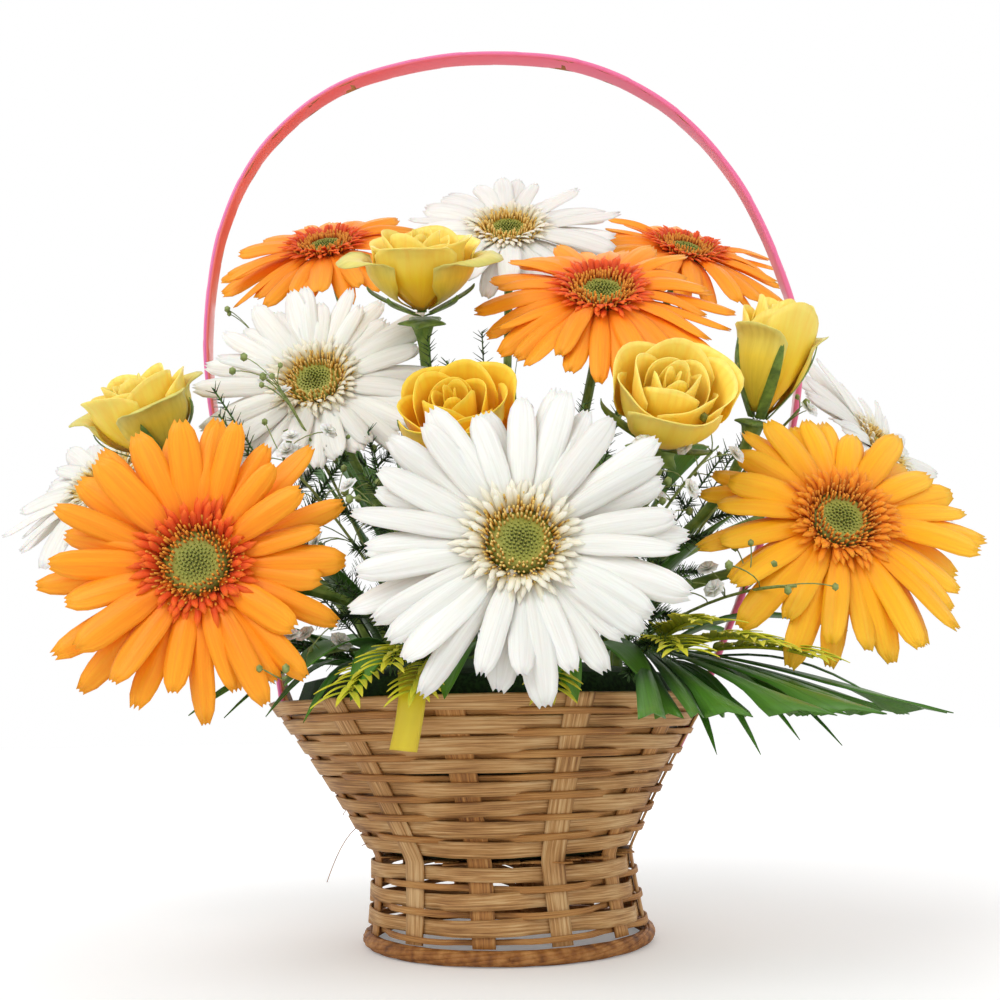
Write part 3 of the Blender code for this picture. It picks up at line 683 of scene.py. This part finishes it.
# Foot ring: thin splints laid side by side and twisted slowly round each other.
def makeCoil():
    bm = startMesh()
    strands = 8
    for k in range(strands):
        steps = 90
        line = []
        for i in range(steps + 1):
            angle = 2 * math.pi * i / steps + 0.7 * k
            turn = 2 * math.pi * k / strands + 3 * angle
            wobble = 0.25 * math.sin(5 * angle + 2 * k)
            line.append(roundBasket(angle, footRadius + 1.55 * mm * math.cos(turn) + wobble * mm * 0.5, 0)
                        + Vector((0, 0, (2.75 + 1.5 * math.sin(turn) + wobble * 0.4) * mm)))
        tube(bm, line, [1.08 * mm] * len(line), 7, dice.random())
    finishPiece("foot_coil_splints", bm, coilBrown, ("foot_coil",))


makeCoil()


# straight floor splints crossing under the bowl
bm = startMesh()
for layer in range(2):
    for k in range(9):
        middle = (k - 4) * 10.2 * mm
        half = math.sqrt(max(0, (waistRadius - 1.2 * mm) ** 2 - middle ** 2))

        def at(a, b, middle=middle, half=half, layer=layer):
            s, w = (a - 0.5) * 2 * half, middle + (b - 0.5) * 8.6 * mm
            start = math.pi * (layer + round(middle / (10.2 * mm)))
            weave = 0.3 * mm * math.cos(s / (10.2 * mm) * math.pi + start)
            z = footTop - 0.7 * mm + weave
            return (s, w, z) if layer else (w, s, z)
        patch(bm, 30, 2, at, dice.random(), None, lambda a, b, k=k: (a * 0.09, b + 2 * k))
finishPiece("bowl_floor_splints", bm, splintBrown, ("bowl_floor",), 0.4 * mm)

# stray fibres lifting off the left of the weave
bm = startMesh()
looseFibres = [((-46, -14, 44), (-1, 0, 0.2), (-64, -22, 24)), ((-52, -10, 52), (-1, 0, 0.5), (-60, -12, 46)),
               ((-44, -16, 38), (-1, -0.3, 0), (-52, -20, 36)), ((-56, -8, 56), (-1, 0, 0), (-62, -10, 62))]
for start, way, end in looseFibres:
    line = bendLine(Vector(start) * mm, way, Vector(end) * mm, 0, 10)
    tube(bm, line, [0.14 * mm] * len(line), 5)
finishPiece("loose_fibres", bm, coilBrown)
print("basket made")


# Handle

handle = dict(turn=math.radians(-3.5), width=8.0, thickness=2.3, wraps=34)
hoopLine = [(-88.5, 104), (-97, 140), (-111, 180), (-118, 213), (-120, 245), (-115, 285), (-99, 320),
            (-70, 346), (-35, 357), (0, 359), (40, 352), (74, 331), (99, 299), (114, 262), (121, 225),
            (115, 185), (99, 140), (83, 104)]


def smoothLine(points, steps):
    ends = [points[0] * 2 - points[1], *points, points[-1] * 2 - points[-2]]
    made = []
    for p, q, r, s in zip(ends, ends[1:], ends[2:], ends[3:]):
        for i in range(steps):
            t = i / steps
            made.append((q * 2 + (r - p) * t + (p * 2 - q * 5 + r * 4 - s) * t * t
                         + (q * 3 - p - r * 3 + s) * t ** 3) / 2)
    return made + [points[-1]]


# Bamboo strip wound with satin ribbon: a flattened tube with the low steps of overlapping turns.
def makeHandle():
    end = [Vector((s, 0, z)) * mm for s, z in ((-84, 84), (-72, 66))]
    right = [Vector((s, 0, z)) * mm for s, z in ((74, 84), (64, 66))]
    line = smoothLine([end[1], end[0]] + [Vector((s, 0, z)) * mm for s, z in hoopLine] + right, 14)
    turn = Matrix.Rotation(handle["turn"], 3, "Z")
    across = turn @ Vector((0, 1, 0))
    last = len(line) - 1
    bm = startMesh()
    half, deep = handle["width"] / 2 * mm, handle["thickness"] / 2 * mm

    def at(a, b):
        spot = a * last
        index = min(int(spot), last - 1)
        point = turn @ line[index].lerp(line[index + 1], spot - index)
        ahead = turn @ (line[index + 1] - line[index]).normalized()
        outward = across.cross(ahead).normalized() * -1
        angle = 2 * math.pi * b
        c, s = math.cos(angle), math.sin(angle)
        flatC = math.copysign(abs(c) ** 0.35, c)
        flatS = math.copysign(abs(s) ** 0.6, s)
        winding = (a * handle["wraps"] + 0.35 * c) % 1.0
        step = 0.16 * mm * winding
        return point + across * (half + step) * flatC + outward * (deep + step) * flatS
    patch(bm, 600, 20, at, 0.5, None,
          lambda a, b: (a * 0.75, 0.5 - 0.5 * math.sin(-2 * math.pi * b)))
    finishPiece("handle_satin", bm, pinkSatinPaintedSheen, ("handle_ribbon",), 0, True)


makeHandle()
print("handle made")


# Greenery

palms = {        # mm and degrees, as the fans stand in the foam
    "palm_leaf_front_right": dict(foot=(46, -38), heading=36, reach=102, opening=84, blades=18,
                                  rise=-14, droop=12),
    "palm_leaf_left": dict(foot=(-52, -30), heading=-62, reach=92, opening=50, blades=11, rise=10, droop=6),
    "palm_leaf_back_left": dict(foot=(-24, 48), heading=-148, reach=80, opening=80, blades=14,
                                  rise=110, droop=10),
    "palm_leaf_back_right": dict(foot=(24, 50), heading=150, reach=80, opening=80, blades=14,
                                  rise=110, droop=10),
    "palm_leaf_back": dict(foot=(2, 56), heading=180, reach=73, opening=70, blades=13, rise=24, droop=14),
}
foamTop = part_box("floral_foam")[1].z


# Fan of folded blades, each cut to a slanting point.
def makePalm(name, row):
    heading, opening = math.radians(row["heading"]), math.radians(row["opening"])
    out = Vector((math.sin(heading), -math.cos(heading), 0))
    side = Vector((-out.y, out.x, 0))
    entry = Vector((row["foot"][0] * mm, row["foot"][1] * mm, foamTop + 1 * mm))
    bm = startMesh()
    blades = row["blades"]
    for k in range(blades):
        middle = opening * ((k + 0.5) / blades - 0.5)
        half = opening / blades * 0.56
        length = row["reach"] * (0.82 + 0.18 * math.sin(2.7 * k + 1)) * (1 - 0.12 * abs(middle))
        slant = 0.09 * (1 if k % 2 else -1)

        def at(a, b):
            edge = (b - 0.5) * 2
            swing = middle + edge * half
            reach = length * a * (1 + slant * edge * smoothStep(0.7, 1, a))
            fold = (1 - abs(edge)) * 1.6 * a
            level = 2 + row["rise"] * a - row["droop"] * a * a + fold
            flat = (out * math.cos(swing) + side * math.sin(swing)) * (reach + 1.5)
            return entry + (flat + Vector((0, 0, level))) * mm
        patch(bm, 14, 4, at, dice.random())
    stalk = [entry - Vector((0, 0, 14 * mm)), entry, entry + (out * 3 + Vector((0, 0, 2.2))) * mm]
    tube(bm, stalk, [1.3 * mm] * 3, 8)
    finishPiece(name + "_blades", bm, palmGreen, (name,), 0.35 * mm)


for name, row in palms.items():
    makePalm(name, row)


# A pointed leaf between two places, folded a little along its midrib.
def leafBlade(bm, start, end, width, lift, curl, tone):
    line = end - start
    ahead = line.normalized()
    side = ahead.cross(Vector((0, 0, 1))).normalized()
    up = side.cross(ahead)

    def at(a, b):
        edge = (b - 0.5) * 2
        wide = math.sin(math.pi * min(1.0, 0.06 + a ** 0.85 * 0.94)) ** 0.8
        return (start + line * a + side * edge * width / 2 * wide * mm
                + up * (lift * math.sin(math.pi * a) + abs(edge) * wide * 0.12 * width - curl * a * a) * mm)
    patch(bm, 10, 4, at, tone)


broadLeaves = [  # start, tip, width, lift, curl in mm: leaves that lie over the rim and fill the gaps
    ((-38, -50, 100), (-66, -98, 92), 15, 8, 2), ((-30, -56, 100), (-46, -100, 88), 14, 8, 3),
    ((-12, -58, 100), (-18, -98, 88), 14, 8, 3), ((8, -60, 100), (22, -100, 86), 16, 9, 3),
    ((22, -56, 100), (46, -98, 88), 14, 8, 3), ((-54, -30, 100), (-112, -70, 98), 13, 6, 2),
    ((-50, -38, 98), (-98, -86, 86), 12, 6, 4), ((-56, -20, 102), (-120, -48, 110), 12, 8, 2),
    ((52, -30, 100), (112, -62, 100), 15, 6, 4), ((56, -18, 102), (124, -30, 112), 14, 8, 4),
    ((-52, 20, 100), (-112, 44, 112), 15, 10, 6), ((50, 24, 100), (108, 52, 114), 15, 10, 6),
    ((-40, 44, 100), (-84, 92, 112), 16, 12, 6), ((40, 44, 100), (86, 92, 112), 16, 12, 6),
    ((0, -20, 104), (-8, -62, 150), 13, 4, 0), ((20, -10, 104), (34, -56, 158), 13, 4, 0),
    ((-20, -10, 104), (-38, -52, 160), 13, 4, 0), ((-40, -10, 102), (-82, -56, 148), 13, 4, 0),
    ((40, -10, 104), (84, -40, 150), 13, 4, 0), ((6, 20, 104), (10, 8, 190), 14, 2, 0),
    ((-30, 20, 104), (-58, 16, 190), 14, 2, 0), ((34, 20, 104), (66, 14, 200), 14, 2, 0),
    ((-14, 40, 104), (-30, 62, 196), 14, 4, 0), ((20, 40, 104), (34, 66, 196), 14, 4, 0),
    ((48, 30, 104), (100, 44, 172), 13, 6, 0), ((-48, 30, 104), (-100, 46, 166), 13, 6, 0),
]
bm = startMesh()
for start, end, width, lift, curl in broadLeaves:
    leafBlade(bm, Vector(start) * mm, Vector(end) * mm, width, lift, curl, dice.random())
finishPiece("broad_leaves", bm, leafGreen, (), 0.35 * mm)

blades = [((56, -56, 98), (86, -106, 74)), ((52, -58, 98), (74, -108, 70)), ((60, -52, 98), (100, -100, 72)),
          ((50, -58, 97), (62, -104, 70)), ((-44, -50, 98), (-72, -96, 84)), ((-48, -46, 98), (-86, -90, 84)),
          ((-40, -54, 98), (-60, -100, 82)), ((64, -46, 98), (122, -84, 82))]
bm = startMesh()
for start, end in blades:
    leafBlade(bm, Vector(start) * mm, Vector(end) * mm, 4.2, 7, 3, dice.random())
finishPiece("grass_blades", bm, palmGreen, (), 0.3 * mm)


# A fine fern sprig: a thin stem with whorls of needles.
def needleSprig(bm, start, end, needle, spread, lift):
    line = bendLine(start, (end - start) + Vector((0, 0, lift * mm)), end, lift * mm * 0.3, 16)
    tube(bm, line, [0.4 * mm] * len(line), 4, 0.3)
    for i in range(3, len(line)):
        ahead = (line[i] - line[i - 1]).normalized()
        side = ahead.orthogonal().normalized()
        for k in range(9):
            turn = Matrix.Rotation(k * 0.7 + i * 1.3, 3, ahead)
            way = (turn @ side) * spread + ahead * 0.6
            length = needle * dice.uniform(0.6, 1.1) * mm * (1.1 - 0.5 * i / len(line))
            root = line[i - 1].lerp(line[i], dice.random())
            aim = way.to_track_quat("Z", "Y").to_matrix().to_4x4()
            cone(bm, Matrix.Translation(root) @ aim, 0.3 * mm, 0.08 * mm, length, 3, dice.random())


ferns = [        # start and tip in mm
    ((-18, -20, 104), (-26, -34, 222)), ((-8, -26, 104), (-18, -52, 206)), ((-30, -10, 104), (-48, -38, 184)),
    ((-44, -14, 102), (-98, -58, 186)), ((-48, -20, 102), (-104, -44, 200)), ((10, -30, 104), (30, -62, 186)),
    ((16, -36, 103), (40, -84, 150)), ((34, -20, 103), (80, -54, 170)), ((-12, -44, 102), (-44, -84, 158)),
    ((-34, -40, 102), (-52, -88, 122)), ((30, -44, 102), (58, -88, 122)), ((-46, -34, 100), (-100, -80, 104)),
    ((-2, 10, 104), (-6, 2, 236)), ((22, 4, 104), (52, -8, 214)), ((-34, 24, 104), (-66, 10, 246)),
    ((46, 8, 104), (104, -4, 196)), ((-50, 8, 104), (-116, 12, 172)), ((-16, 30, 104), (-38, 48, 232)),
    ((18, 34, 104), (42, 52, 230)), ((42, 36, 104), (92, 66, 170)), ((-40, 38, 104), (-88, 70, 166)),
    ((0, 48, 104), (2, 92, 160)), ((-22, -54, 101), (-34, -98, 96)), ((40, -50, 101), (50, -100, 98)),
]
for group in range(3):
    bm = startMesh()
    for start, end in ferns[group::3]:
        needleSprig(bm, Vector(start) * mm, Vector(end) * mm, 7.5, 0.9, 8)
        middle = Vector(start).lerp(Vector(end), 0.55) * mm
        for way in (-1, 1):
            side = (Vector(end) - Vector(start)).cross(Vector((0, 1, 0))).normalized()
            tip = middle + side * way * 22 * mm + Vector((0, -4, 14)) * mm
            needleSprig(bm, middle, tip, 6, 0.9, 2)
    finishPiece("fern_sprigs_%d" % (group + 1), bm, fernGreen)

tufts = [((50, -52, 100), (60, -98, 106)), ((46, -54, 100), (52, -102, 98)), ((56, -48, 100), (78, -96, 100)),
         ((-26, -58, 100), (-34, -100, 96)), ((-32, -54, 100), (-46, -98, 88)),
         ((-20, -58, 99), (-26, -100, 88)),
         ((62, -40, 100), (96, -86, 96)), ((12, -60, 99), (14, -98, 88))]
bm = startMesh()
for start, end in tufts:
    a, d = Vector(start) * mm, Vector(end) * mm
    line = bendLine(a, (d - a) + Vector((0, 0, 8 * mm)), d, 3 * mm, 12)
    tube(bm, line, [0.5 * mm] * len(line), 5, 0.4)
    for i in range(3, len(line)):
        for way in (-1, 0, 1):
            ahead = (line[i] - line[i - 1]).normalized()
            side = ahead.cross(Vector((0, 0, 1))).normalized() * way
            tip = line[i] + (ahead * 1.2 + side * 0.8 + Vector((0, 0, 0.15))) * dice.uniform(7, 12) * mm
            leafBlade(bm, line[i], tip, 2.3, 0.8, 0.6, dice.random())
finishPiece("gold_tufts", bm, goldGreen, (), 0.25 * mm)
print("greenery made")


# Baby's breath

sprays = [       # start and tip in mm, how wide the spray spreads, flowers and buds on it
    ((-36, 14, 104), (-100, 10, 238), 26, 3, 12), ((32, -16, 104), (50, -84, 150), 22, 8, 9),
    ((30, -20, 104), (70, -78, 164), 20, 5, 8), ((-30, -24, 104), (-74, -62, 168), 24, 6, 10),
    ((-34, -10, 104), (-80, -44, 200), 22, 4, 10), ((44, -30, 102), (92, -88, 118), 18, 3, 7),
    ((-40, -40, 101), (-66, -98, 92), 14, 3, 5), ((10, 36, 104), (8, 70, 236), 24, 6, 8),
    ((44, -6, 103), (112, -34, 190), 16, 1, 6), ((-14, -40, 102), (-40, -90, 146), 16, 3, 5),
]
stemBm, flowerBm = startMesh(), startMesh()


# A double flower as small as a pea: three whorls of notched petals.
def breathFlower(bm, at, way, size):
    place = facing(at, way)
    for whorl, (count, length, up) in enumerate(((7, 1.0, 0.15), (6, 0.75, 0.55), (4, 0.45, 0.8))):
        for k in range(count):
            turn = place @ Matrix.Rotation(2 * math.pi * (k + 0.4 * whorl) / count, 4, "Z")

            def spot(a, b):
                side = (b - 0.5) * (0.3 + 0.7 * a) * length
                return Vector((a * length * (1 - 0.3 * up), side, a * up * length + 0.1 * whorl)) * size * mm
            patch(bm, 2, 2, spot, dice.random(), turn)


for start, end, spread, flowers, buds in sprays:
    a, d = Vector(start) * mm, Vector(end) * mm
    stem = bendLine(a, (d - a) + Vector((0, 0, 0.02)), d, 4 * mm, 10)
    tube(stemBm, stem, [0.55 * mm] * len(stem), 5)
    for k in range(flowers + buds):
        root = stem[dice.randrange(5, len(stem))]
        way = Vector((dice.uniform(-1, 1), dice.uniform(-0.9, 0.3), dice.uniform(-0.1, 1))).normalized()
        tip = root + way * dice.uniform(0.35, 1.0) * spread * mm
        twig = bendLine(root, (d - a).normalized() + way, tip, 1 * mm, 5)
        tube(stemBm, twig, [0.24 * mm] * len(twig), 4)
        if k < flowers:
            breathFlower(flowerBm, tip, (way.x, -0.8, way.z + 0.3), dice.uniform(3.0, 4.0))
        else:
            ball(stemBm, tip, dice.uniform(1.0, 1.6) * mm, dice.random(), (1, 1, 1.2))
finishPiece("gypsophila_stems", stemBm, breathStem, ("babys_breath_left", "babys_breath_right"))
finishPiece("gypsophila_flowers", flowerBm, breathWhite, (), 0.12 * mm)
print("baby's breath made")


# Yellow ribbon, foam, liner, stems

ribbonRoute = [(-31, -58, 96.8), (-30, -70, 95.8), (-29, -79, 92), (-28.5, -83.6, 87), (-29.5, -84.2, 79),
               (-31.5, -83, 70)]      # mm, from the foam over the rim
ribbonLine = smoothLine([Vector(point) * mm for point in ribbonRoute], 8)
bm = startMesh()
lastRibbon = len(ribbonLine) - 1


def ribbonPoint(a, b):
    spot = min(int(a * lastRibbon), lastRibbon - 1)
    point = ribbonLine[spot].lerp(ribbonLine[spot + 1], a * lastRibbon - spot)
    side = (b - 0.5) * 2
    ripple = -0.5 * math.cos(3 * side + 5 * a)
    return point + Vector((side * 4.3, ripple, -0.5 * side * smoothStep(0.85, 1, a))) * mm


patch(bm, 40, 6, ribbonPoint)
finishPiece("yellow_ribbon_end", bm, yellowSatin, ("yellow_ribbon",), 0.3 * mm)

ownMaterials = {"foil_liner": foilDark, "floral_foam": foamGreen, "handle_hoop": coilBrown}
for name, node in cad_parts.items():
    if node.hide_render:
        continue
    material = ownMaterials.get(name, stemGreen)
    node.data.materials.clear()
    node.data.materials.append(material)
    if name.endswith("_stem"):
        join = node.modifiers.new("join", "WELD")
        join.merge_threshold = 1e-5
        smooth = node.modifiers.new("smooth", "SUBSURF")
        smooth.levels = smooth.render_levels = 1


# Floor, light, camera

lamps = {        # soft boxes: power in watts, side and place in metres
    "key": (7.0, 0.9, (-0.55, -0.75, 0.95)),
    "fill": (2.8, 1.2, (0.9, -0.5, 0.6)),
    "back": (2.5, 0.8, (0.1, 0.9, 0.9)),
}
view = dict(place=(0, -0.440, 0.077), sensor=36, lens=40.68, lookUp=11.3, roll=1.2)    # metres, mm, degrees


def makeStage():
    bm = bmesh.new()
    bmesh.ops.create_grid(bm, x_segments=1, y_segments=1, size=6)
    mesh = bpy.data.meshes.new("floor")
    bm.to_mesh(mesh)
    bm.free()
    floor = bpy.data.objects.new("floor", mesh)
    bpy.context.scene.collection.objects.link(floor)
    made, tree, surface = startMaterial("seamless paper, white",
                                        {"Base Color": linear("F4F4F4"), "Roughness": 0.9})
    surface.inputs["Emission Color"].default_value = (1, 1, 1, 1)
    seen = addNode(tree, "ShaderNodeLightPath").outputs["Is Camera Ray"]
    place = addNode(tree, "ShaderNodeTexCoord").outputs["Object"]
    away = addNode(tree, "ShaderNodeVectorMath", {"operation": "LENGTH"}, {0: place}).outputs["Value"]
    fade = addNode(tree, "ShaderNodeMapRange", None, {0: away, 1: 0.15, 2: 0.6, 3: 0.2, 4: 0.5})
    glow = addNode(tree, "ShaderNodeMath", {"operation": "MULTIPLY"}, {0: seen, 1: fade.outputs[0]})
    tree.links.new(glow.outputs[0], surface.inputs["Emission Strength"])
    mesh.materials.append(made)
    world = bpy.data.worlds.new("studio")
    bpy.context.scene.world = world
    world.use_nodes = True
    tree = world.node_tree
    back = tree.nodes["Background"]
    path = addNode(tree, "ShaderNodeLightPath")
    mirrored = addNode(tree, "ShaderNodeMath", {"operation": "MAXIMUM"},
                       {0: path.outputs["Is Glossy Ray"], 1: path.outputs["Is Transmission Ray"]})
    bright = addNode(tree, "ShaderNodeMath", {"operation": "MAXIMUM"},
                     {0: path.outputs["Is Camera Ray"], 1: mirrored.outputs[0]})
    strength = addNode(tree, "ShaderNodeMath", {"operation": "MULTIPLY_ADD"},
                       {0: bright.outputs[0], 1: 0.42, 2: 0.58})
    tree.links.new(strength.outputs[0], back.inputs["Strength"])
    back.inputs["Color"].default_value = (1, 1, 1, 1)
    for name, (power, size, spot) in lamps.items():
        lamp = bpy.data.lights.new(name, "AREA")
        lamp.energy, lamp.size = power, size
        made = bpy.data.objects.new(name, lamp)
        made.location = spot
        made.rotation_euler = (Vector((0, 0, 0.17)) - Vector(spot)).to_track_quat("-Z", "Y").to_euler()
        bpy.context.scene.collection.objects.link(made)


# Close, low and looking a little up, as the arrangement is seen from a table's edge.
def makeCamera():
    camera = bpy.data.objects.new("camera", bpy.data.cameras.new("camera"))
    camera.data.sensor_width = view["sensor"]
    camera.data.lens = view["lens"]
    camera.data.clip_start = 0.01
    tilt = Matrix.Rotation(math.radians(90 + view["lookUp"]), 4, "X")
    level = Matrix.Rotation(math.radians(-view["roll"]), 4, "Z")
    camera.matrix_world = Matrix.Translation(view["place"]) @ tilt @ level
    bpy.context.scene.collection.objects.link(camera)
    bpy.context.scene.camera = camera


makeStage()
makeCamera()
bpy.context.scene.view_settings.view_transform = "Standard"
